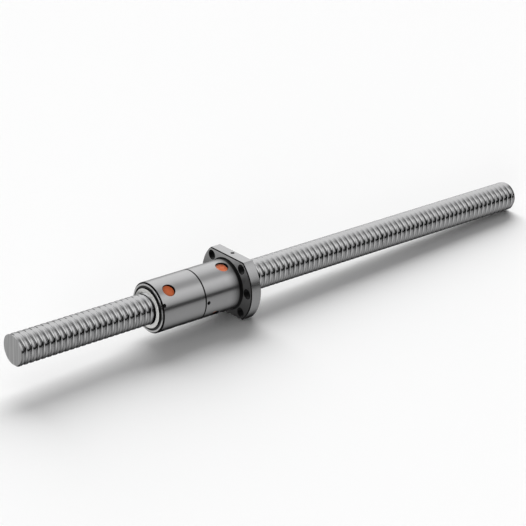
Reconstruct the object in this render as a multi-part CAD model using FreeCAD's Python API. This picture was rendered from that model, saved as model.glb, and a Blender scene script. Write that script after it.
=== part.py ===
import FreeCAD, Part
import math
import os

# A ball screw with a preloaded double nut: a screw with a ground ball track, a flanged nut and a
# barrel nut kept apart by a shim, and balls that circulate through deflectors in the nuts' walls.
# Sizes are in millimetres. X runs along the screw, from its near end to its far end. The origin is
# where the screw's axis meets the flange's mounting face, which looks along -X. Z is up, square to
# the flats of the flange. Angles are in degrees about X, from +Y towards +Z.

V = FreeCAD.Vector

# Screw
screw_d = 24.5
screw_length = 505.0
screw_near_reach = 194.5  # from the mounting face to the screw's near end
screw_chamfer = 1.8  # at the far end only: the near end is cut square

# Ball track, a right-hand helix with a gothic arch for its section
lead = 5.0
ball_d = 3.175
ball_circle_d = 25.5
track_conformity = 0.55  # radius of the arch's arcs, as a share of the ball's diameter
track_contact = 45.0  # from the bottom of the track to where a ball would touch its flanks
track_gap = 0.12  # between a ball and the track
track_zero = -3.35  # x of a track's middle at angle 0
track_turns_per_length = 10  # turns of track that are ground into one length of the screw

# Nuts
nut_d = 40.0
nut_bore_d = 26.2
nut_chamfer = 1.2
flange_nut_reach = 34.6  # from the mounting face back along the barrel to the seam
barrel_nut_length = 39.6
seam_gap = 0.8
relief_width = 2.5
relief_depth = 0.8

# Flange
flange_d = 62.0
flange_thickness = 10.0
flange_across_flats = 48.0
flange_chamfer = 0.8  # on the rim and the flats, on both sides
bolt_circle_d = 51.0
bolt_hole_d = 6.6
bolt_angles = (0.0, 45.0, 135.0, 180.0, 225.0, 315.0)

# Oil port, down from the middle of the upper flat
oil_port_x = 6.0
oil_thread_d = 3.3
oil_thread_depth = 5.7
oil_drill_d = 1.6

# Deflectors, pressed into the nuts' walls a third of a turn apart
deflector_d = 10.4
deflector_fit = 0.03  # between a deflector and its hole, all round
deflector_sink = 2.0  # from the nut's outside down to the deflector's flat top
deflector_edge = 0.3
deflectors_per_nut = 3
flange_nut_first_angle = 108.0
flange_nut_first_turn = 1  # whole turns of track between the mounting face and the first deflector
barrel_nut_first_angle = 6.0
barrel_nut_first_turn = 9

# Ball circuits: once round the track, then back over the screw's land inside a deflector
return_half_angle = 20.0
return_lift = 1.8
return_gap = 0.16  # between a ball and the deflector's channel
balls_per_circuit = 25

# Wipers, one in each open end
wiper_recess_d = 35.0
wiper_recess_depth = 3.0
wiper_step = 0.8  # from the nut's end face down to the wiper's shoulder
wiper_collar_d = 31.0
wiper_collar_rise = 1.4
wiper_bore_d = 25.0
wiper_fit = 0.05
wiper_edge = 0.3

# Shim between the nuts, which sets the preload
shim_clearance = 0.1  # to each nut's end face
shim_bore_d = 26.6
shim_d = 30.0

# Pin that keeps the two nuts from turning against each other, and the screw that holds it
pin_d = 2.5
pin_length = 7.0
pin_circle_d = 33.2
pin_angle = 181.0
pin_fit = 0.02

# Set screws
set_screw_hole_d = 3.0
set_screw_fit = 0.05
set_screw_sink = 0.8  # from the nut's outside down to the screw's top
set_screw_seat = 0.05  # from the screw's point to what it presses on
set_screw_socket = 1.5  # across the flats of its hexagon socket
set_screw_socket_depth = 1.0
wiper_screw_inset = 2.0  # from the nut's end face
wiper_screw_angle = 156.0
pin_screw_inset = 2.1  # from the flanged nut's end face

screw_r = screw_d / 2
ball_r = ball_d / 2
ball_circle_r = ball_circle_d / 2
nut_r = nut_d / 2
nut_bore_r = nut_bore_d / 2
screw_near_x = -screw_near_reach
screw_far_x = screw_near_x + screw_length
seam_x = -flange_nut_reach
barrel_seam_x = seam_x - seam_gap
barrel_end_x = barrel_seam_x - barrel_nut_length
past = 1.0  # how far a cutting shape runs past the face that it leaves through


def rod(x_from, x_to, radius):
    """A cylinder on the screw's axis."""
    return Part.makeCylinder(radius, x_to - x_from, V(x_from, 0, 0), V(1, 0, 0))


def turned(corners):
    """A solid turned about the screw's axis from the (x, radius) corners of its half section."""
    points = [V(x, 0, radius) for x, radius in corners]
    outline = Part.makePolygon(points + points[:1])
    return Part.Face(outline).revolve(V(), V(1, 0, 0), 360)


def place(x, angle, radius):
    """The point at an x, an angle and a distance from the axis."""
    turn = math.radians(angle)
    return V(x, radius * math.cos(turn), radius * math.sin(turn))


def spoke(x, angle, r_from, r_to, radius):
    """A cylinder that points straight out from the screw's axis."""
    return Part.makeCylinder(radius, r_to - r_from, place(x, angle, r_from), place(0, angle, 1))


def bevelled_spoke(x, angle, r_from, r_to, radius, edge):
    """A spoke whose outer end has a bevelled edge."""
    tip = Part.makeCone(
        radius, radius - edge, edge, place(x, angle, r_to - edge), place(0, angle, 1)
    )
    return spoke(x, angle, r_from, r_to - edge, radius).fuse(tip)


def laid_along_x(shape, x, angle):
    """Lays a shape that was built along Z on the screw's axis: its X side comes to the angle."""
    shape.rotate(V(), V(0, 0, 1), angle)
    shape.rotate(V(), V(1, 1, 1), 120)
    shape.translate(V(x, 0, 0))
    return shape


# Ball track


def track_section(outward):
    """The gothic arch across the track, at the start of a helix along Z. It opens away from the
    axis for the screw (outward 1) and towards it for a nut (outward -1)."""
    arc_r = track_conformity * ball_d
    offset = arc_r - ball_r - track_gap
    aside = offset * math.sin(math.radians(track_contact))
    back = offset * math.cos(math.radians(track_contact))
    bottom = math.sqrt(arc_r**2 - aside**2) - back

    def flank(side, depth):
        half_width = math.sqrt(arc_r**2 - (depth + back) ** 2) - aside
        return V(ball_circle_r - outward * depth, 0, side * half_width)

    foot = V(ball_circle_r - outward * bottom, 0, 0)
    mouth = -0.2 * ball_r
    middle = 0.7 * bottom
    left = Part.Arc(flank(-1, mouth), flank(-1, middle), foot).toShape()
    right = Part.Arc(foot, flank(1, middle), flank(1, mouth)).toShape()
    closing = Part.makeLine(flank(1, mouth), flank(-1, mouth))
    return Part.Wire([left, right, closing])


def track_cutter(x_from, turns, outward):
    """The space of the ball track over a number of turns."""
    helix = Part.Wire(Part.makeHelix(lead, lead * turns, ball_circle_r).Edges)
    sweep = Part.BRepOffsetAPI.MakePipeShell(helix)
    sweep.setBiNormalMode(V(0, 0, 1))
    sweep.add(track_section(outward), False, False)
    sweep.build()
    sweep.makeSolid()
    return laid_along_x(sweep.shape(), x_from, 360 * (x_from - track_zero) / lead)


def screw_piece(x_from, x_to):
    """A length of the screw with its track, cut square at both ends."""
    turns = math.ceil((x_to - x_from) / lead) + 2
    start = x_from - lead
    blank = rod(start - lead, start + (turns + 1) * lead, screw_r)
    ground = blank.cut(track_cutter(start, turns, 1))
    return ground.common(rod(x_from, x_to, screw_r + past))


def far_chamfer():
    """The ring that the chamfer takes off the screw's far end."""
    return turned(
        [
            (screw_far_x + past, screw_r - screw_chamfer - past),
            (screw_far_x + past, screw_r + past),
            (screw_far_x - screw_chamfer - past, screw_r + past),
        ]
    )


def faces_but(shape, cut_at):
    """A piece's faces without the flat ones at the given places along X."""

    def left_out(face):
        box = face.BoundBox
        return box.XLength < 1e-4 and any(abs(box.XMin - x) < 1e-3 for x in cut_at)

    return [face for face in shape.Faces if not left_out(face)]


def screw_shaft():
    """The screw. Lengths with whole turns of track are alike, so one is ground and repeated, and
    the last is ground to the screw's end. They are joined by leaving out the faces between."""
    step = track_turns_per_length * lead
    repeats = math.ceil(screw_length / step) - 1
    last_x = screw_near_x + repeats * step
    last = screw_piece(last_x, screw_far_x).cut(far_chamfer())
    faces = faces_but(last, [last_x] if repeats else [])
    whole = screw_piece(screw_near_x, screw_near_x + step) if repeats else None
    for i in range(repeats):
        start = screw_near_x + i * step
        piece = whole.copy()
        piece.translate(V(i * step, 0, 0))
        faces += faces_but(piece, [start + step] if i == 0 else [start, start + step])
    shell = Part.makeShell(faces)
    shell.sewShape()
    return Part.makeSolid(shell)


def tracked_bore(x_from, x_to):
    """A thick tube whose bore has the ball track, to be cut to a nut's outer form."""
    turns = math.ceil((x_to - x_from) / lead) + 2
    start = x_from - lead
    end = start + turns * lead
    tube = rod(start - lead, end + lead, flange_d).cut(rod(start - 2 * lead, end + 2 * lead, nut_bore_r))
    return tube.cut(track_cutter(start, turns, -1))


# Ball circuits. Each is the same, so one is made about the middle of a deflector at angle 0 and
# moved to its site.


def moved_to(site, shape):
    """A copy of a shape, turned about the screw and slid along it to a deflector's site."""
    x, angle = site
    copy = shape.copy()
    copy.rotate(V(), V(1, 0, 0), angle)
    copy.translate(V(x, 0, 0))
    return copy


def deflector_sites(first_angle, first_turn):
    """(x, angle) of each deflector of a nut. Each sits over the screw's land, in the middle
    between two turns of the track, and a whole turn and a third further on than the last."""
    sites = []
    for n in range(deflectors_per_nut):
        angle = first_angle - 360 * n * (1 + 1 / deflectors_per_nut)
        x = track_zero + lead * (angle / 360 - first_turn - 0.5)
        sites.append((x, angle))
    return sites


def return_arc():
    """The way of a ball's centre over the land, from one turn of the track up through the
    deflector and down to the turn before."""
    aside = lead * (0.5 - return_half_angle / 360)
    entry = place(aside, -return_half_angle, ball_circle_r)
    top = place(0, 0, ball_circle_r + return_lift)
    leave = place(-aside, return_half_angle, ball_circle_r)
    return Part.Arc(entry, top, leave)


def ball_centres():
    """The balls' centres, evenly spaced along the track and the return arc, the first at the top
    of the return arc."""
    arc = return_arc()
    across = arc.length()
    track_per_degree = math.hypot(2 * math.pi * ball_circle_r, lead) / 360
    whole_way = across + track_per_degree * (360 - 2 * return_half_angle)
    centres = []
    for n in range(balls_per_circuit):
        way = whole_way * n / balls_per_circuit
        if way < across / 2:
            centres.append(arc.value(arc.parameterAtDistance(across / 2 + way, arc.FirstParameter)))
        elif way > whole_way - across / 2:
            back = way - whole_way + across / 2
            centres.append(arc.value(arc.parameterAtDistance(back, arc.FirstParameter)))
        else:
            angle = return_half_angle + (way - across / 2) / track_per_degree
            centres.append(place(lead * (angle / 360 - 0.5), angle, ball_circle_r))
    return centres


def ball_circuit():
    """The balls of one circuit."""
    return Part.makeCompound([Part.makeSphere(ball_r, centre) for centre in ball_centres()])


def return_channel():
    """The ring-shaped way that the balls have through a deflector."""
    circle = return_arc().toShape().Curve
    turn = FreeCAD.Rotation(V(0, 0, 1), circle.Axis)
    channel = Part.makeTorus(circle.Radius, ball_r + return_gap)
    channel.Placement = FreeCAD.Placement(circle.Center, turn)
    return channel


def deflector():
    """A round insert that fills a hole in the nut's wall, with the return channel in its foot."""
    top = nut_r - deflector_sink
    plug = bevelled_spoke(0, 0, nut_bore_r / 2, top, deflector_d / 2, deflector_edge)
    plug = plug.cut(rod(-deflector_d, deflector_d, nut_bore_r))
    return plug.cut(return_channel())


# Nuts


def deflector_hole(site):
    """The hole that a deflector is pressed into."""
    return spoke(*site, nut_bore_r / 2, nut_r + past, deflector_d / 2 + deflector_fit)


def set_screw_hole(x, angle, r_from):
    """A tapped hole from the nut's outside down to a depth."""
    return spoke(x, angle, r_from, nut_r + past, set_screw_hole_d / 2)


def pin_hole():
    """The hole across the seam for the pin, half of it in each nut."""
    start = place(seam_x - seam_gap / 2 - pin_length / 2 - pin_fit, pin_angle, pin_circle_d / 2)
    return Part.makeCylinder(pin_d / 2 + pin_fit, pin_length + 2 * pin_fit, start, V(1, 0, 0))


def slab_between_flats():
    """All that lies between the flange's two flats, with the flats' edges bevelled as the rim's."""
    half = flange_across_flats / 2
    upper = [
        (seam_x - past, half - flange_chamfer),
        (0, half - flange_chamfer),
        (flange_chamfer, half),
        (flange_thickness - flange_chamfer, half),
        (flange_thickness, half - flange_chamfer),
    ]
    lower = [(x, -z) for x, z in reversed(upper)]
    points = [V(x, -flange_d, z) for x, z in upper + lower]
    outline = Part.Face(Part.makePolygon(points + points[:1]))
    return outline.extrude(V(0, 2 * flange_d, 0))


def flange_form():
    """The flanged nut's outer form, without its bore: a barrel with an undercut at its root, and
    a round flange with two flats."""
    flange_r = flange_d / 2
    body = turned(
        [
            (seam_x, 0),
            (seam_x, nut_r),
            (-relief_width, nut_r),
            (-relief_width, nut_r - relief_depth),
            (0, nut_r - relief_depth),
            (0, flange_r - flange_chamfer),
            (flange_chamfer, flange_r),
            (flange_thickness - flange_chamfer, flange_r),
            (flange_thickness, flange_r - flange_chamfer),
            (flange_thickness, 0),
        ]
    )
    body = body.common(slab_between_flats())
    recess_floor = flange_thickness - wiper_recess_depth
    return body.cut(rod(recess_floor, flange_thickness + past, wiper_recess_d / 2))


def bolt_holes():
    """The clearance holes through the flange."""
    holes = []
    for angle in bolt_angles:
        start = place(-past, angle, bolt_circle_d / 2)
        holes.append(Part.makeCylinder(bolt_hole_d / 2, flange_thickness + 2 * past, start, V(1, 0, 0)))
    return holes


def oil_way():
    """The tapped port in the upper flat and the drilling from it to the ball track."""
    flat_z = flange_across_flats / 2
    port = spoke(oil_port_x, 90, flat_z - oil_thread_depth, flat_z + past, oil_thread_d / 2)
    return port.fuse(spoke(oil_port_x, 90, nut_bore_r / 2, flat_z, oil_drill_d / 2))


def flange_nut(sites):
    """The nut with the flange that bolts to the machine."""
    nut = flange_form().common(tracked_bore(seam_x, flange_thickness))
    cuts = bolt_holes() + [oil_way(), pin_hole()]
    cuts.append(set_screw_hole(seam_x + pin_screw_inset, pin_angle, pin_circle_d / 2))
    cuts += [deflector_hole(site) for site in sites]
    for shape in cuts:
        nut = nut.cut(shape)
    return nut


def barrel_nut(sites):
    """The plain nut, with a chamfer round its open end."""
    recess = rod(barrel_end_x - past, barrel_end_x + wiper_recess_depth, wiper_recess_d / 2)
    form = turned(
        [
            (barrel_end_x, 0),
            (barrel_end_x, nut_r - nut_chamfer),
            (barrel_end_x + nut_chamfer, nut_r),
            (barrel_seam_x, nut_r),
            (barrel_seam_x, 0),
        ]
    ).cut(recess)
    nut = form.common(tracked_bore(barrel_end_x, barrel_seam_x))
    cuts = [pin_hole()]
    cuts.append(set_screw_hole(barrel_end_x + wiper_screw_inset, wiper_screw_angle, nut_bore_r))
    cuts += [deflector_hole(site) for site in sites]
    for shape in cuts:
        nut = nut.cut(shape)
    return nut


# Small pieces


def wiper(end_x, inward):
    """A stepped ring in a nut's open end, with its collar out past the nut's end face. inward is
    the sign of the way along X into the nut."""

    def along(depth):
        return end_x + inward * depth

    base_r = wiper_recess_d / 2 - wiper_fit
    collar_r = wiper_collar_d / 2
    bore_r = wiper_bore_d / 2
    return turned(
        [
            (along(wiper_recess_depth - wiper_fit), bore_r),
            (along(wiper_recess_depth - wiper_fit), base_r),
            (along(wiper_step), base_r),
            (along(wiper_step), collar_r),
            (along(wiper_edge - wiper_collar_rise), collar_r),
            (along(-wiper_collar_rise), collar_r - wiper_edge),
            (along(-wiper_collar_rise), bore_r),
        ]
    )


def preload_shim():
    """The ring between the two nuts."""
    middle = seam_x - seam_gap / 2
    half = seam_gap / 2 - shim_clearance
    ring = rod(middle - half, middle + half, shim_d / 2)
    return ring.cut(rod(middle - seam_gap, middle + seam_gap, shim_bore_d / 2))


def alignment_pin():
    """The pin across the seam."""
    middle = place(seam_x - seam_gap / 2, pin_angle, pin_circle_d / 2)
    return Part.makeCylinder(pin_d / 2, pin_length, middle - V(pin_length / 2, 0, 0), V(1, 0, 0))


def hexagon(across_flats, depth, base, direction):
    """A six-sided prism for a key's socket."""
    corner = V(across_flats / math.sqrt(3), 0, 0)
    corners = [FreeCAD.Rotation(V(0, 0, 1), 60 * k).multVec(corner) for k in range(7)]
    face = Part.Face(Part.makePolygon(corners))
    prism = face.extrude(V(0, 0, depth))
    prism.Placement = FreeCAD.Placement(base, FreeCAD.Rotation(V(0, 0, 1), direction))
    return prism


def set_screw(x, angle, seat_r):
    """A headless screw that presses on what lies at seat_r, with a hexagon socket in its top."""
    top = nut_r - set_screw_sink
    body = spoke(x, angle, seat_r + set_screw_seat, top, set_screw_hole_d / 2 - set_screw_fit)
    base = place(x, angle, top - set_screw_socket_depth)
    return body.cut(hexagon(set_screw_socket, set_screw_socket_depth + past, base, place(0, angle, 1)))


def model():
    """Every piece by its node's name."""
    flange_sites = deflector_sites(flange_nut_first_angle, flange_nut_first_turn)
    barrel_sites = deflector_sites(barrel_nut_first_angle, barrel_nut_first_turn)
    wiper_base_r = wiper_recess_d / 2 - wiper_fit
    pieces = {
        "screw_shaft": screw_shaft(),
        "flange_nut": flange_nut(flange_sites),
        "barrel_nut": barrel_nut(barrel_sites),
        "preload_shim": preload_shim(),
        "alignment_pin": alignment_pin(),
        "alignment_set_screw": set_screw(
            seam_x + pin_screw_inset, pin_angle, pin_circle_d / 2 + pin_d / 2
        ),
        "front_wiper": wiper(barrel_end_x, 1),
        "front_wiper_set_screw": set_screw(
            barrel_end_x + wiper_screw_inset, wiper_screw_angle, wiper_base_r
        ),
        "rear_wiper": wiper(flange_thickness, -1),
    }
    insert = deflector()
    balls = ball_circuit()
    for nut, sites in (("flange", flange_sites), ("barrel", barrel_sites)):
        for number, site in enumerate(sites, 1):
            pieces[f"{nut}_deflector_{number}"] = moved_to(site, insert)
            pieces[f"{nut}_balls_{number}"] = moved_to(site, balls)
    return pieces


os.makedirs("parts", exist_ok=True)
for name, shape in model().items():
    solids = len(shape.Solids)
    box = shape.BoundBox
    print(
        f"{name}: {solids} solids, {shape.Volume:.1f} mm3, valid {shape.isValid()},"
        f" x {box.XMin:.2f} to {box.XMax:.2f}"
    )
    shape.exportStep(f"parts/{name}.step")
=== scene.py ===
# %% [markdown]
# A ball screw with a preloaded double nut, dressed for a product photograph.
# The engineering model brings every piece at its true size and place. This lesson gives each one
# its finish, adds the threads that the model leaves out, and sets up the studio.
# It starts by loading the model as a fixed frame.

# %% Load the frame
import math

import bpy
from mathutils import Matrix, Vector


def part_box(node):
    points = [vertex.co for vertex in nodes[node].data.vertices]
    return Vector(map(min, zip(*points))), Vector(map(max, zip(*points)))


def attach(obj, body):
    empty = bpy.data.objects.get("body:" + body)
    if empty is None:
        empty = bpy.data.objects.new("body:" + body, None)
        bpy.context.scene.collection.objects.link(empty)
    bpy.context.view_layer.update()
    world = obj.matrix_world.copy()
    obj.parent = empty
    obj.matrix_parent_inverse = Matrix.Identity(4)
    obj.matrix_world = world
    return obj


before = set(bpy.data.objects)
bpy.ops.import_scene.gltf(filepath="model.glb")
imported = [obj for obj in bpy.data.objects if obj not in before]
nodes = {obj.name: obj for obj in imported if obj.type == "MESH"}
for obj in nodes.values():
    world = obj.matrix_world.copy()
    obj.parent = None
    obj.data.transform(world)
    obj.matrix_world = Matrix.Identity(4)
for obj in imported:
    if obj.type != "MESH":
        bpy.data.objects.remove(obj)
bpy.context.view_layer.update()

for name, node in sorted(nodes.items()):
    print(name, len(node.data.polygons), "triangles")


# %% [markdown]
# Sizes. Everything that is placed here hangs on the model's own pieces, so their boxes are read
# first. The screw lies along X, the flange's mounting face is at x = 0, and up is Z.

# %% Sizes read from the model
MM = 0.001  # lengths are in metres
HAIR = 0.05 * MM  # how near to a face still counts as on it

screw_low, screw_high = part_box("screw_shaft")
flange_low, flange_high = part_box("flange_nut")
screw_r = screw_high.z
flange_bottom = flange_low.z
flange_end_x = flange_high.x
print("screw", screw_low.x, "to", screw_high.x, "radius", screw_r)


# %% [markdown]
# Camera. The photograph is a long-lens view from in front and above. Its place was worked out from
# the outlines of the screw and the nut, and the lens from how fast the screw narrows with distance.

# %% Camera
PHOTO_SIDE = 526
FOCAL_PIXELS = 1918.29
SENSOR_MM = 36.0
NEAREST_SEEN = 0.05
FARTHEST_SEEN = 100

camera_place = Vector((-0.84887, -1.05172, 0.60591))
camera_right = Vector((0.77035, -0.63731, 0.02004))
camera_down = Vector((-0.24026, -0.31924, -0.91671))
camera_forward = Vector((0.59063, 0.70137, -0.39904))

camera_data = bpy.data.cameras.new("camera")
camera_data.sensor_width = SENSOR_MM
camera_data.lens = FOCAL_PIXELS / PHOTO_SIDE * SENSOR_MM
camera_data.clip_start = NEAREST_SEEN
camera_data.clip_end = FARTHEST_SEEN
camera = bpy.data.objects.new("camera", camera_data)
turn = Matrix((camera_right, -camera_down, -camera_forward)).transposed()
camera.matrix_world = Matrix.Translation(camera_place) @ turn.to_4x4()
bpy.context.scene.collection.objects.link(camera)
bpy.context.scene.camera = camera
print("lens", round(camera_data.lens, 1), "mm")


# %% [markdown]
# Small helpers for materials. A node tree is easier to read when each node is one call: the kind of
# node, its settings, and what is plugged into its inputs.

# %% Helpers for node trees
def plug(tree, socket, value):
    """Links another node's result to an input, or sets the input to a plain value."""
    if isinstance(value, bpy.types.NodeSocket):
        tree.links.new(value, socket)
    else:
        socket.default_value = value


def add_node(tree, kind, settings=None, **inputs):
    """Adds a node. An input is given by its name, with _ for a space, or by i and its index."""
    node = tree.nodes.new(kind)
    for key, value in (settings or {}).items():
        setattr(node, key, value)
    for key, value in inputs.items():
        which = int(key[1:]) if key[1:].isdigit() else key.replace("_", " ")
        plug(tree, node.inputs[which], value)
    return node


def grey(level):
    """A grey of a given brightness."""
    return (level, level, level, 1)


def math_node(tree, operation, first, second=0.0):
    """A Math node's result."""
    return add_node(tree, "ShaderNodeMath", {"operation": operation}, i0=first, i1=second).outputs[0]


def map_range(tree, value, start=0.0, end=1.0, low=0.0, high=1.0):
    """Goes from low to high as the value goes from start to end, and holds still past them."""
    node = add_node(
        tree, "ShaderNodeMapRange", None,
        Value=value, From_Min=start, From_Max=end, To_Min=low, To_Max=high,
    )
    return node.outputs[0]


def ramp(tree, factor, stops):
    """A grey colour ramp's result. stops are (place, brightness)."""
    node = add_node(tree, "ShaderNodeValToRGB", None, Fac=factor)
    elements = node.color_ramp.elements
    while len(elements) < len(stops):
        elements.new(0.5)
    for element, (place, level) in zip(elements, stops):
        element.position = place
        element.color = grey(level)
    return node.outputs[0]


def mix_colour(tree, factor, first, second):
    """Mixes two colours."""
    node = add_node(tree, "ShaderNodeMix", {"data_type": "RGBA"}, i0=factor, i6=first, i7=second)
    return node.outputs[2]


def mix_number(tree, factor, first, second):
    """Mixes two numbers."""
    node = add_node(tree, "ShaderNodeMix", {"data_type": "FLOAT"}, i0=factor, i2=first, i3=second)
    return node.outputs[0]


def new_material(name):
    """A material with its node tree and its shader."""
    material = bpy.data.materials.new(name)
    material.use_nodes = True
    return material, material.node_tree, material.node_tree.nodes["Principled BSDF"]


# %% [markdown]
# The floor. The part stands on one edge of its flange and on the far end of the screw, so the floor
# is tilted a little against the part's own frame. It is a matt white sweep, which takes the part's
# shadow. The metal doesn't mirror it: what the metal sees below the horizon is the lower half of the
# studio that the next steps build.

# %% Floor
FLOOR_SIZE = 16.0
FLOOR_WHITE = 0.93
FLOOR_ROUGHNESS = 0.9
FAR_END_CHAMFER = 1.8 * MM

rise = (flange_bottom + screw_r) / (screw_high.x - FAR_END_CHAMFER - flange_end_x)
floor_tilt = math.atan(-rise)
bpy.ops.object.select_all(action="DESELECT")
bpy.ops.mesh.primitive_plane_add(size=FLOOR_SIZE, location=(flange_end_x, 0, flange_bottom))
floor = bpy.context.object
floor.name = "floor"
floor.rotation_euler = (0, -floor_tilt, 0)

floor_material, _, floor_shader = new_material("floor_white")
floor_shader.inputs["Base Color"].default_value = grey(FLOOR_WHITE)
floor_shader.inputs["Roughness"].default_value = FLOOR_ROUGHNESS
floor_shader.inputs["Specular IOR Level"].default_value = 0.0
floor.data.materials.append(floor_material)
floor.visible_glossy = False
print("floor tilted", round(math.degrees(floor_tilt), 2), "degrees")


# %% [markdown]
# The studio as rings. Bright metal shows what stands round it, so the light is built as long strips
# that run beside the screw: a white sweep behind it, a dimmer ceiling, a soft box in front and
# above, and a dark gap at the horizon in front. Each strip is a stretch of a ring of brightness
# about the X axis. A ball track's walls look along the screw, towards what stands at its ends, so
# there are four rings: one for what stands beside the screw, one for the gap between the soft
# boxes, and one for each end.

# %% Rings of brightness
# each ring: (angle up from the front horizon, over the top, to the back and round below; brightness)
BACK_SWEEP = ((104, 0.66), (124, 0.86), (160, 0.92), (169, 0.72))
BESIDE = (
    (0, 0.00), (5, 0.03), (14, 0.42), (28, 0.64), (48, 0.82), (60, 0.76), (74, 0.46), (90, 0.45),
    *BACK_SWEEP,
    (180, 0.45), (198, 0.30), (212, 0.06), (236, 0.00), (254, 0.01), (266, 0.14), (278, 0.27),
    (290, 0.34), (303, 0.38), (338, 0.37), (350, 0.32), (356, 0.00), (360, 0.00),
)
GAP = (
    (0, 0.00), (16, 0.02), (34, 0.12), (70, 0.15), (84, 0.14), (100, 0.40), (120, 0.84),
    (146, 0.90), (160, 0.10), (188, 0.02), (197, 0.40), (222, 0.40), (236, 0.03), (254, 0.04),
    (266, 0.15), (290, 0.26), (318, 0.24), (346, 0.04), (360, 0.00),
)
NEAR_END = (
    (0, 0.02), (14, 0.10), (30, 0.85), (56, 1.00), (92, 0.62),
    *BACK_SWEEP,
    (180, 0.30), (194, 0.42), (222, 0.42), (236, 0.12), (262, 0.12), (284, 0.40), (320, 0.68),
    (345, 0.40), (354, 0.03), (360, 0.02),
)
FAR_END = (
    (0, 0.00), (40, 0.06), (84, 0.10), (104, 0.50), (124, 0.66), (160, 0.70), (169, 0.56),
    (180, 0.30), (200, 0.20), (212, 0.03), (250, 0.01), (268, 0.16), (290, 0.32), (338, 0.34),
    (354, 0.00),
)
print("stops of the rings:", len(BESIDE), len(GAP), len(NEAR_END), len(FAR_END))


# %% [markdown]
# Where the rings meet. A direction's share along the screw tells which ring it looks at, from the
# near end's, over the gap's and the one beside the screw, to the far end's. Over a short stretch one
# gives way to the next. In the photograph these borders aren't straight: the gap runs out to the
# near end in a wedge at the front, and lies further along at the back horizon.

# %% Borders between the rings
# how far a direction points along the screw, from -1 to 1, where one ring gives way to the next
NEAR_END_TO_GAP = (-0.30, -0.12)
GAP_TO_BESIDE = (0.32, 0.41)
BESIDE_TO_FAR_END = (0.62, 0.88)
# how much further the gap reaches to the near end, by angle
WEDGE = ((0, 0.75), (28, 0.42), (58, 0.20), (96, 0), (336, 0), (350, 0.25), (360, 0.75))
# where every border lies further along by the shift
HORIZON = ((148, 0), (160, 1), (188, 1), (200, 0))
HORIZON_SHIFT = 0.10


def ring(tree, share, stops):
    """A ring of brightness, from stops in degrees."""
    return ramp(tree, share, [(angle / 360, level) for angle, level in stops])


world = bpy.data.worlds.new("studio")
world.use_nodes = True
bpy.context.scene.world = world
tree = world.node_tree
direction = add_node(tree, "ShaderNodeTexCoord").outputs["Generated"]
axes = add_node(tree, "ShaderNodeSeparateXYZ", None, Vector=direction)
front = math_node(tree, "MULTIPLY", axes.outputs["Y"], -1.0)
around = math_node(tree, "ARCTAN2", axes.outputs["Z"], front)
share = math_node(tree, "FRACT", math_node(tree, "DIVIDE", around, 2 * math.pi))
shift = math_node(tree, "MULTIPLY", ring(tree, share, HORIZON), HORIZON_SHIFT)
along = math_node(tree, "SUBTRACT", axes.outputs["X"], shift)
along_wedge = math_node(tree, "ADD", along, ring(tree, share, WEDGE))
seen = mix_colour(
    tree, map_range(tree, along_wedge, *NEAR_END_TO_GAP),
    ring(tree, share, NEAR_END), ring(tree, share, GAP),
)
for border, stops in ((GAP_TO_BESIDE, BESIDE), (BESIDE_TO_FAR_END, FAR_END)):
    seen = mix_colour(tree, map_range(tree, along, *border), seen, ring(tree, share, stops))
print("world nodes:", len(tree.nodes))


# %% [markdown]
# What each kind of ray gets. Only reflections see the rings, and the camera sees plain white. A matt
# surface gets plain light from above, fading to nothing at the horizon. It gets the same plain light
# by way of the metal, or the floor under the nut would be lit from below, through itself.

# %% World light
WORLD_WHITE = 0.98
WORLD_FILL = 0.38

light_path = add_node(tree, "ShaderNodeLightPath")
height = math_node(tree, "MAXIMUM", axes.outputs["Z"], 0.0)
dome = math_node(tree, "MULTIPLY", height, WORLD_FILL)
before_matt = math_node(tree, "LESS_THAN", light_path.outputs["Diffuse Depth"], 0.5)
mirrored = math_node(tree, "MULTIPLY", light_path.outputs["Is Glossy Ray"], before_matt)
lit = mix_colour(tree, mirrored, dome, seen)
shown = mix_colour(tree, light_path.outputs["Is Camera Ray"], lit, grey(WORLD_WHITE))
tree.links.new(shown, tree.nodes["Background"].inputs["Color"])
print("matt surfaces get", WORLD_FILL, "from above")


# %% [markdown]
# Lamps. A wide lamp behind the part gives the floor its level and the part its soft shadow, which
# falls to the front. A low one in front is for what is matt: the wiper and the deflectors. The metal
# mirrors neither, because its studio is the rings.

# %% Lamps
def wide_lamp(name, strength, degrees, came_from):
    """A sun lamp that is seen under an angle of so many degrees."""
    data = bpy.data.lights.new(name, "SUN")
    data.energy = strength
    data.angle = math.radians(degrees)
    lamp = bpy.data.objects.new(name, data)
    lamp.rotation_mode = "QUATERNION"
    lamp.rotation_quaternion = came_from.to_track_quat("Z", "Y")
    lamp.visible_glossy = False
    bpy.context.scene.collection.objects.link(lamp)
    print(name, "of strength", strength)


wide_lamp("back_sun", strength=4.88, degrees=56.0, came_from=Vector((0.9, 1.25, 0.9)))
wide_lamp("front_fill", strength=1.8, degrees=24.0, came_from=Vector((-1.0, -0.8, 0.05)))


# %% [markdown]
# Steel. All of it is hardened bearing steel, and what differs is how each face was cut. A ground
# barrel has fine rings round it, from the wheel. The rings are noise that is squeezed along X, so it
# changes fast along the part and slowly round it. Over them lie a faint unevenness of tone, and
# patches of oil film from handling, which are a little duller.

# %% Steel finishes
# how often each noise changes, per metre along X, Y and Z
WHEEL_RINGS = (6000, 60, 60)
CLOUDS = 60.0
OIL_PATCHES = 24.0
SAWN_STREAKS = (0, 420, 14)

SMUDGE = 0.04  # how far the tone strays, as a share
GLOSS_SPREAD = 0.15  # how far the roughness strays, as a share
OIL_FILM = 0.25  # how much duller the steel is where it has been handled
RING_BUMP = 0.25
SAWN_ROUGHNESS = 0.3


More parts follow.
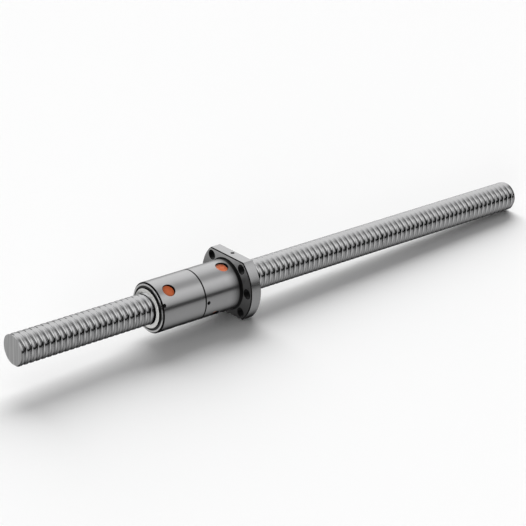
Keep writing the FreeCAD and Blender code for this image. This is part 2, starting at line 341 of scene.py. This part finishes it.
def object_place(tree, scale=(1, 1, 1)):
    """Object coordinates in metres, scaled."""
    place = add_node(tree, "ShaderNodeTexCoord").outputs["Object"]
    return add_node(tree, "ShaderNodeMapping", None, Vector=place, Scale=scale).outputs[0]


def noise(tree, place, scale, detail=2.0, roughness=0.5):
    """A noise texture's brightness."""
    node = add_node(
        tree, "ShaderNodeTexNoise", None,
        Vector=place, Scale=scale, Detail=detail, Roughness=roughness,
    )
    return node.outputs[0]


def strayed(tree, wave, middle, spread):
    """A number that strays from its middle by a share, as the noise goes from 0 to 1."""
    return map_range(tree, wave, low=middle * (1 - spread), high=middle * (1 + spread))


def bump(tree, wave, strength, depth):
    """A surface that follows a noise."""
    node = add_node(tree, "ShaderNodeBump", None, Height=wave, Strength=strength, Distance=depth)
    return node.outputs[0]


def finish_shader(tree, shader, colour, roughness, normal):
    """Plugs a finish into its shader."""
    plug(tree, shader.inputs["Base Color"], colour)
    plug(tree, shader.inputs["Roughness"], roughness)
    plug(tree, shader.inputs["Normal"], normal)


def steel(name, colour, roughness, ring_depth, dark_areas=None):
    """Ground steel. dark_areas gives areas laid over it, each (mask, brightness, roughness): painted
    shade and a painted highlight on the nuts, the sawn end's streaks on the screw."""
    material, tree, shader = new_material(name)
    shader.inputs["Metallic"].default_value = 1.0
    rings = noise(tree, object_place(tree, WHEEL_RINGS), 1.0, detail=3.0, roughness=0.6)
    clouds = noise(tree, object_place(tree), CLOUDS, detail=3.0, roughness=0.55)
    patches = noise(tree, object_place(tree), OIL_PATCHES, detail=4.0, roughness=0.62)
    shade = add_node(
        tree, "ShaderNodeVectorMath", {"operation": "SCALE"},
        i0=colour, i3=strayed(tree, clouds, 1.0, SMUDGE),
    ).outputs[0]
    film = map_range(tree, patches, start=0.5, end=0.75, low=1.0, high=1 + OIL_FILM)
    gloss = math_node(tree, "MULTIPLY", strayed(tree, rings, roughness, GLOSS_SPREAD), film)
    for mask, level, rough in dark_areas(tree) if dark_areas else ():
        tone = level if isinstance(level, bpy.types.NodeSocket) else grey(level)
        shade = mix_colour(tree, mask, shade, tone)
        gloss = mix_number(tree, mask, gloss, rough)
    finish_shader(tree, shader, shade, gloss, bump(tree, rings, RING_BUMP, ring_depth))
    return material


def near_end_area(tree):
    """The screw's near end, which is only sawn: streaks of tone run down it."""
    x = add_node(tree, "ShaderNodeSeparateXYZ", None, Vector=object_place(tree)).outputs["X"]
    end = math_node(tree, "LESS_THAN", x, screw_low.x + HAIR)
    streaks = noise(tree, object_place(tree, SAWN_STREAKS), 1.0, roughness=0.6)
    tone = map_range(tree, streaks, start=0.3, end=0.7, low=0.5, high=0.86)
    return ((end, tone, SAWN_ROUGHNESS),)


screw_steel = steel(
    "screw_steel", colour=(0.64, 0.64, 0.645), roughness=0.12, ring_depth=0.003 * MM,
    dark_areas=near_end_area,
)
print(screw_steel.name, "has", len(screw_steel.node_tree.nodes), "nodes")


# %% [markdown]
# Masks. The nuts' ground steel carries painted shade: the drilled holes, the undercut at the flange's
# root, the chamfers and the barrel nut's recess are painted black as their shade, the flange's face
# gets a painted shade, and the seams are dark joints. Each area is found by its place on the part:
# how far a point is from a hole's axis, from the screw's axis, or along X. That needs no unwrapping,
# and it is exact on a model whose sizes are known.

# %% Masks by place
def below(tree, value, limit):
    """1 where the value is below the limit."""
    return math_node(tree, "LESS_THAN", value, limit)


def above(tree, value, limit):
    """1 where the value is above the limit."""
    return math_node(tree, "GREATER_THAN", value, limit)


def joined(tree, operation, masks):
    """Several masks made one by the same operation."""
    result = masks[0]
    for mask in masks[1:]:
        result = math_node(tree, operation, result, mask)
    return result


def all_of(tree, *masks):
    """1 where every mask is."""
    return joined(tree, "MULTIPLY", masks)


def any_of(tree, *masks):
    """1 where one of the masks is."""
    return joined(tree, "MAXIMUM", masks)


def vector_number(tree, operation, first, second):
    """The number that a vector operation gives."""
    node = add_node(tree, "ShaderNodeVectorMath", {"operation": operation}, i0=first, i1=second)
    return node.outputs["Value"]


def part_axes(tree):
    """A point's x, height, distance from the screw's axis, place square to that axis, and itself."""
    point = object_place(tree)
    split = add_node(tree, "ShaderNodeSeparateXYZ", None, Vector=point)
    across = add_node(
        tree, "ShaderNodeVectorMath", {"operation": "MULTIPLY"}, i0=point, i1=(0, 1, 1)
    ).outputs[0]
    radius = vector_number(tree, "LENGTH", across, (0, 0, 0))
    return split.outputs["X"], split.outputs["Z"], radius, across, point


def out_from_axis(degrees):
    """The direction straight out from the screw's axis at an angle."""
    angle = math.radians(degrees)
    return Vector((0, math.cos(angle), math.sin(angle)))


def along_hole(tree, across, hole_axis, hole_r):
    """1 within a hole that runs along X."""
    return below(tree, vector_number(tree, "DISTANCE", across, hole_axis), hole_r)


def inward_hole(tree, x, point, hole_x, degrees, hole_r):
    """1 within a hole that runs towards the screw's axis at an x and an angle."""
    out = vector_number(tree, "DOT_PRODUCT", point, out_from_axis(degrees))
    side = vector_number(tree, "DOT_PRODUCT", point, out_from_axis(degrees + 90))
    forth = math_node(tree, "SUBTRACT", x, hole_x)
    squares = [math_node(tree, "POWER", length, 2.0) for length in (forth, side)]
    away = math_node(tree, "SQRT", math_node(tree, "ADD", *squares))
    return all_of(tree, below(tree, away, hole_r), above(tree, out, 0.0))


print("an angle of 90 degrees points", tuple(out_from_axis(90)))


# %% [markdown]
# Sizes of the nuts. They repeat the model's own: the bolt circle, the undercut, the deflectors'
# places a third of a turn apart, and the two small screws' holes. A mask is a little wider than its
# hole, so that it takes in the whole wall.

# %% Sizes of the two nuts
NUT_R = 20 * MM
SKIN = 0.15 * MM  # how far under the outer surface the painted shade in the holes starts
FACET = 0.07 * MM  # how far the flats of a round face dip below its radius

FLANGE_R = 31 * MM
FLAT_Z = 24 * MM
FLANGE_CHAMFER = 0.8 * MM
CHAMFER_SHARES = (0.02, 0.98)  # of the chamfer's width, which clear the faces beside it
UNDERCUT = 2.5 * MM
ROOT_RING_R = 21.0 * MM  # where the flange's face meets the undercut, a ring is painted black as painted shade

BOLT_CIRCLE_R = 25.5 * MM
BOLT_HOLE_R = 3.3 * MM
BOLT_HOLE_EDGE = 0.7 * MM
BOLT_ANGLES = (0, 45, 135, 180, 225, 315)

OIL_PORT_X = 6 * MM
OIL_PORT_MASK_R = 1.75 * MM

LEAD = 5 * MM
TRACK_ZERO = -3.35 * MM
DEFLECTORS_PER_NUT = 3
DEFLECTOR_STEP = 480  # degrees: a turn and a third
DEFLECTOR_MASK_R = 5.3 * MM

SEAM_X = -34.6 * MM
BARREL_SEAM_X = -35.4 * MM
SEAM_EDGE = 0.2 * MM
NUT_END_X = -75 * MM
NUT_END_CHAMFER = 1.2 * MM
RECESS_R = 17.5 * MM
RECESS_DEPTH = 3 * MM

# each small screw: (x, angle)
PIN_SCREW = (SEAM_X + 2.1 * MM, 181)
WIPER_SCREW = (NUT_END_X + 2.0 * MM, 156)
SMALL_MASK_R = 1.56 * MM


def deflector_places(first_angle, first_turn):
    """The (x, angle) of each deflector of a nut. It sits on the land, half a lead from the track."""
    places = []
    for step in range(DEFLECTORS_PER_NUT):
        degrees = first_angle - DEFLECTOR_STEP * step
        turns = degrees / 360 - first_turn
        places.append((TRACK_ZERO + LEAD * (turns - 0.5), degrees % 360))
    return places


FLANGE_DEFLECTORS = deflector_places(108, 1)
BARREL_DEFLECTORS = deflector_places(6, 9)
print("deflectors at", [(round(x, 5), angle) for x, angle in FLANGE_DEFLECTORS + BARREL_DEFLECTORS])


# %% [markdown]
# Dark areas. Each nut's finish is a list of areas over its ground steel. The barrel carries a painted
# shade that darkens towards the flange. The flange's face carries a painted shade, dark at the lower
# flat and paler at the upper one. The barrel nut's end face carries a painted highlight.

# %% Dark areas of the two nuts
# each tone: (brightness, roughness)
# this black is painted shade in holes, undercuts, chamfers and recesses, and also a dark seam
BLACK = (0.012, 0.5)
# a painted highlight: the barrel nut's end face is made brighter than its steel
END_HIGHLIGHT = (0.88, 0.25)
# painted shade on the barrel near the flange
BARREL_SHADE_TONE = (0.10, 0.3)
BARREL_SHADE_LENGTH = 13 * MM  # the length over which the barrel darkens
FACE_ROUGHNESS = 0.32
# painted shade on the flange's face, by height
FACE_SHADE = (0.05, 0.66)  # brightness at the lower and at the upper flat
FACE_SHADE_CURVE = 2.0  # how late it rises between them


def drilled(tree, x, radius, point, places, hole_r):
    """1 on the walls of holes drilled inward through a nut."""
    holes = [inward_hole(tree, x, point, hole_x, angle, hole_r) for hole_x, angle in places]
    return all_of(tree, any_of(tree, *holes), below(tree, radius, NUT_R - SKIN))


def flange_face(tree, x, z, radius):
    """1 on the flange's mounting face and the chamfer round it."""
    return all_of(
        tree,
        above(tree, x, -2 * HAIR),
        below(tree, x, CHAMFER_SHARES[1] * FLANGE_CHAMFER),
        below(tree, radius, FLANGE_R - HAIR),
        below(tree, z, FLAT_Z - HAIR),
        above(tree, z, -FLAT_Z + HAIR),
    )


def shade_towards_flange(tree, x, radius):
    """A painted shade, from 0 to 1 on the barrel as it comes near the flange."""
    return all_of(
        tree,
        math_node(tree, "POWER", map_range(tree, x, -BARREL_SHADE_LENGTH, -UNDERCUT), 2.0),
        below(tree, x, -2 * HAIR),
        above(tree, radius, NUT_R - 2 * HAIR),
    )


def flange_nut_areas(tree):
    """The flanged nut's areas of painted shade, and its dark seam."""
    x, z, radius, across, point = part_axes(tree)
    face = flange_face(tree, x, z, radius)
    chamfer = all_of(tree, face, above(tree, x, CHAMFER_SHARES[0] * FLANGE_CHAMFER))
    root = all_of(tree, face, below(tree, radius, ROOT_RING_R))
    undercut = all_of(
        tree,
        above(tree, x, -UNDERCUT - 2 * HAIR),
        below(tree, x, -HAIR),
        below(tree, radius, NUT_R - FACET),
    )
    seam = below(tree, x, SEAM_X + SEAM_EDGE)
    bolts = [
        along_hole(tree, across, BOLT_CIRCLE_R * out_from_axis(angle), BOLT_HOLE_R + BOLT_HOLE_EDGE)
        for angle in BOLT_ANGLES
    ]
    oil = all_of(
        tree,
        inward_hole(tree, x, point, OIL_PORT_X, 90, OIL_PORT_MASK_R),
        below(tree, z, FLAT_Z - SKIN),
    )
    inward = drilled(tree, x, radius, point, FLANGE_DEFLECTORS, DEFLECTOR_MASK_R)
    pin_screw = drilled(tree, x, radius, point, [PIN_SCREW], SMALL_MASK_R)
    # painted shade: the holes' walls, the undercut, the chamfer and the root ring are black; the seam
    # is a dark joint
    black = any_of(tree, *bolts, oil, inward, pin_screw, undercut, chamfer, root, seam)
    # painted shade on the flange's face: dark at the lower flat, paler at the upper one
    height = map_range(tree, z, -FLAT_Z, FLAT_Z)
    painted_face_shade = map_range(
        tree, math_node(tree, "POWER", height, FACE_SHADE_CURVE), low=FACE_SHADE[0], high=FACE_SHADE[1]
    )
    # painted shade on the barrel, darkening towards the flange
    barrel_shade = shade_towards_flange(tree, x, radius)
    return (barrel_shade, *BARREL_SHADE_TONE), (face, painted_face_shade, FACE_ROUGHNESS), (black, *BLACK)


def barrel_nut_areas(tree):
    """The barrel nut's painted highlight on its end face, its painted shade, and its dark seam."""
    x, z, radius, across, point = part_axes(tree)
    # painted highlight on the end face
    end = below(tree, x, NUT_END_X + HAIR)
    chamfer = all_of(
        tree,
        below(tree, x, NUT_END_X + NUT_END_CHAMFER - HAIR),
        above(tree, radius, NUT_R - NUT_END_CHAMFER + HAIR),
    )
    recess = all_of(
        tree,
        below(tree, x, NUT_END_X + RECESS_DEPTH + HAIR),
        above(tree, x, NUT_END_X + HAIR),
        below(tree, radius, RECESS_R + 2 * HAIR),
    )
    inward = drilled(tree, x, radius, point, BARREL_DEFLECTORS, DEFLECTOR_MASK_R)
    wiper_screw = drilled(tree, x, radius, point, [WIPER_SCREW], SMALL_MASK_R)
    seam = above(tree, x, BARREL_SEAM_X - SEAM_EDGE)
    # painted shade: the chamfer, the recess and the holes' walls are black; the seam is a dark joint
    black = any_of(tree, chamfer, recess, inward, wiper_screw, seam)
    return (end, *END_HIGHLIGHT), (black, *BLACK)


def nut_steel(name, areas):
    """The steel of a nut, with its painted shade and painted highlight laid over the ground steel."""
    material = steel(
        name, colour=(0.60, 0.60, 0.605), roughness=0.22, ring_depth=0.004 * MM, dark_areas=areas
    )
    print(name, "has", len(material.node_tree.nodes), "nodes")
    return material


flange_nut_steel = nut_steel("flange_nut_steel", flange_nut_areas)
barrel_nut_steel = nut_steel("barrel_nut_steel", barrel_nut_areas)


# %% [markdown]
# Plastics and small steel. The deflectors are moulded in orange, with the faint mottle of filled
# plastic. The wipers are turned from a pale plastic, and outside their raised collar they carry a
# painted shade, black, for the shade of the nut's recess. Pin and balls are polished, the set screws
# are blackened, and the shim's edge is dark.

# %% Other finishes
MOULD_CLOUDS = 900.0
MOULD_GRAIN = 6000.0
MOULD_BUMP = 0.3
WIPER_COLLAR_R = 15.5 * MM


def plastic(name, colour, roughness, mottle, grain, painted_shade_from=None):
    """Plastic with a fine grain and a slight change of tone. It carries a painted shade, black, past
    a distance from the screw's axis, where one is given."""
    material, tree, shader = new_material(name)
    clouds = noise(tree, object_place(tree), MOULD_CLOUDS, detail=4.0, roughness=0.6)
    low = (*(part * (1 - mottle) for part in colour), 1)
    high = (*(min(1, part * (1 + mottle)) for part in colour), 1)
    shade = mix_colour(tree, clouds, low, high)
    if painted_shade_from:
        radius = part_axes(tree)[2]
        # painted shade: black past the collar, for the shade of the nut's recess
        shade = mix_colour(tree, above(tree, radius, painted_shade_from), shade, grey(BLACK[0]))
    gloss = strayed(tree, clouds, roughness, GLOSS_SPREAD)
    fine = noise(tree, object_place(tree), MOULD_GRAIN)
    finish_shader(tree, shader, shade, gloss, bump(tree, fine, MOULD_BUMP, grain))
    return material


deflector_plastic = plastic(
    "deflector_plastic", colour=(1.0, 0.205, 0.065), roughness=0.42, mottle=0.12, grain=0.02 * MM
)
wiper_plastic = plastic(
    "wiper_plastic", colour=(0.84, 0.84, 0.82), roughness=0.4, mottle=0.04, grain=0.01 * MM,
    painted_shade_from=WIPER_COLLAR_R - HAIR,
)
ball_steel = steel(
    "ball_steel", colour=(0.66, 0.66, 0.66), roughness=0.08, ring_depth=0.0005 * MM
)
black_steel = steel(
    "black_steel", colour=(0.016, 0.016, 0.016), roughness=0.4, ring_depth=0.004 * MM
)
shim_steel = steel(
    "shim_steel", colour=(0.10, 0.10, 0.10), roughness=0.4, ring_depth=0.004 * MM
)
print("finishes:", len(bpy.data.materials))


# %% [markdown]
# Every piece gets its finish, by what it is. The pieces also keep out of each other's reflections
# where the photograph shows none: the barrel would mirror the flange's dark face and its holes, the
# face the orange deflectors, and the screw the pale wipers. The floor would take on their orange.

# %% Give every node its finish
# the first word that is in a node's name decides
FINISHES = (
    ("deflector", deflector_plastic),
    ("balls", ball_steel),
    ("alignment_pin", ball_steel),
    ("set_screw", black_steel),
    ("wiper", wiper_plastic),
    ("shim", shim_steel),
    ("screw_shaft", screw_steel),
    ("flange_nut", flange_nut_steel),
    ("barrel_nut", barrel_nut_steel),
)

for name, node in nodes.items():
    finish = next(finish for word, finish in FINISHES if word in name)
    node.data.materials.clear()
    node.data.materials.append(finish)
    if name == "flange_nut" or "deflector" in name or "wiper" in name:
        node.visible_glossy = False
    if "deflector" in name:
        node.visible_diffuse = False
    print(name, "is", finish.name)


# %% [markdown]
# Threads. The oil port and the two small screws' holes are tapped. A thread is a ridge that winds
# round the wall of its hole, so it starts as a small diamond beside the hole's axis, and a Screw
# modifier carries it round and down. Its outer half stays inside the wall. The ends are closed, and
# then the ridge is turned to point along its hole and moved to the hole's mouth.

# %% Tapped holes
RIDGE_CORNERS = 4
STEPS_PER_TURN = 28
OIL_THREAD = {"hole_r": 1.65 * MM, "ridge": 0.2 * MM, "pitch": 0.7 * MM, "turns": 6}
SMALL_THREAD = {"hole_r": 1.5 * MM, "ridge": 0.12 * MM, "pitch": 0.5 * MM, "turns": 1}
# how far below the surface a thread starts
OIL_THREAD_SINK = 0.3 * MM
SMALL_THREAD_SINK = 0.17 * MM


def thread_ridge(name, mouth, outward, hole_r, ridge, pitch, turns):
    """A thread's ridge that winds down from near a hole's mouth. outward points out of the hole."""
    bpy.ops.object.select_all(action="DESELECT")
    bpy.ops.mesh.primitive_circle_add(
        vertices=RIDGE_CORNERS, radius=ridge, location=(hole_r, 0, 0), rotation=(math.pi / 2, 0, 0)
    )
    piece = bpy.context.object
    piece.name = name
    bpy.ops.object.transform_apply(location=True, rotation=True, scale=True)
    screw = piece.modifiers.new("winding", "SCREW")
    screw.axis = "Z"
    screw.screw_offset = -pitch
    screw.iterations = turns
    screw.steps = STEPS_PER_TURN
    screw.render_steps = STEPS_PER_TURN
    bpy.ops.object.modifier_apply(modifier=screw.name)
    bpy.ops.object.mode_set(mode="EDIT")
    bpy.ops.mesh.select_all(action="SELECT")
    bpy.ops.mesh.fill_holes(sides=RIDGE_CORNERS)
    bpy.ops.mesh.normals_make_consistent(inside=False)
    bpy.ops.object.mode_set(mode="OBJECT")
    piece.rotation_mode = "QUATERNION"
    piece.rotation_quaternion = outward.to_track_quat("Z", "Y")
    piece.location = mouth
    bpy.ops.object.transform_apply(location=True, rotation=True, scale=True)
    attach(piece, "nut")
    # the ridges take black steel, like the painted shade on the holes' walls
    piece.data.materials.append(black_steel)
    print(name, len(piece.data.polygons), "faces")


up = out_from_axis(90)
oil_mouth = Vector((OIL_PORT_X, 0, 0)) + up * (FLAT_Z - OIL_THREAD_SINK)
thread_ridge("oil_port_thread", oil_mouth, up, **OIL_THREAD)
for name, place in (("pin_screw_thread", PIN_SCREW), ("wiper_screw_thread", WIPER_SCREW)):
    hole_x, degrees = place
    outward = out_from_axis(degrees)
    mouth = Vector((hole_x, 0, 0)) + outward * (NUT_R - SMALL_THREAD_SINK)
    thread_ridge(name, mouth, outward, **SMALL_THREAD)


# %% [markdown]
# The last step. The render shows colours as they are written, with no film look.

# %% Finish
bpy.context.scene.view_settings.view_transform = "Standard"
